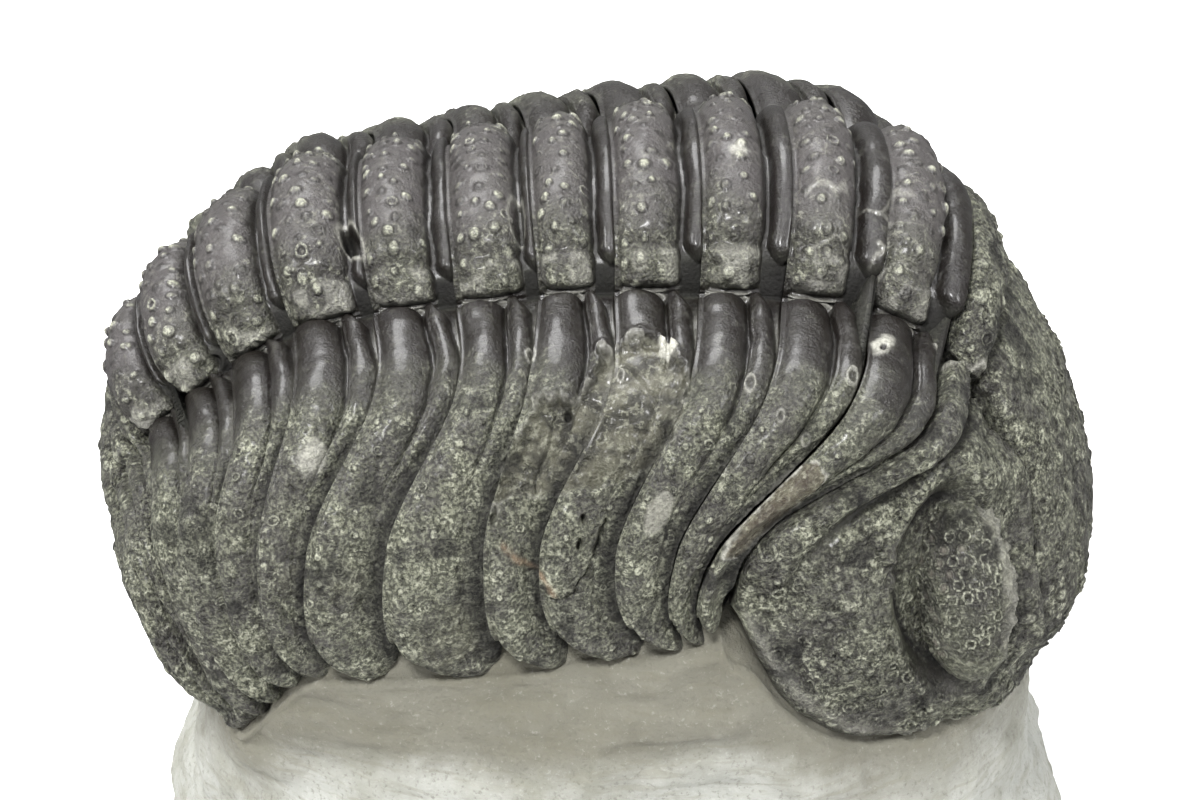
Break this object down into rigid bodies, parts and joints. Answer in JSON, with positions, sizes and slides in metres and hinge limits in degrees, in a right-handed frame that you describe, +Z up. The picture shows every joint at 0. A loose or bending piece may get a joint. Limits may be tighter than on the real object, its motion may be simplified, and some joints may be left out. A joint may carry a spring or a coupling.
{
  "type": "trilobite fossil",
  "caption": "Half-enrolled trilobite fossil with compound eyes and a segmented ribbed back, resting on its natural limestone matrix.",
  "frame": {"origin": "middle of the part's bounding box, at the flat sawn base of the stone", "axes": "+X from the tail to the head, +Z up out of the back, +Y to the side away from the picture's camera"},
  "size_m": [0.0498, 0.0387, 0.041],
  "materials": {
    "fossil_shell": "dark olive-grey calcite shell, satin, with pale specks",
    "matrix_limestone": "rough pale grey limestone with a flat sawn base"
  },
  "bodies": {
    "root": {"cephalon": "fossil_shell", "thoracic_segment_01": "fossil_shell", "thoracic_segment_02": "fossil_shell", "thoracic_segment_03": "fossil_shell", "thoracic_segment_04": "fossil_shell", "thoracic_segment_05": "fossil_shell", "thoracic_segment_06": "fossil_shell", "thoracic_segment_07": "fossil_shell", "thoracic_segment_08": "fossil_shell", "thoracic_segment_09": "fossil_shell", "thoracic_segment_10": "fossil_shell", "thoracic_segment_11": "fossil_shell", "pygidium": "fossil_shell", "matrix": "matrix_limestone"}
  },
  "joints": []
}
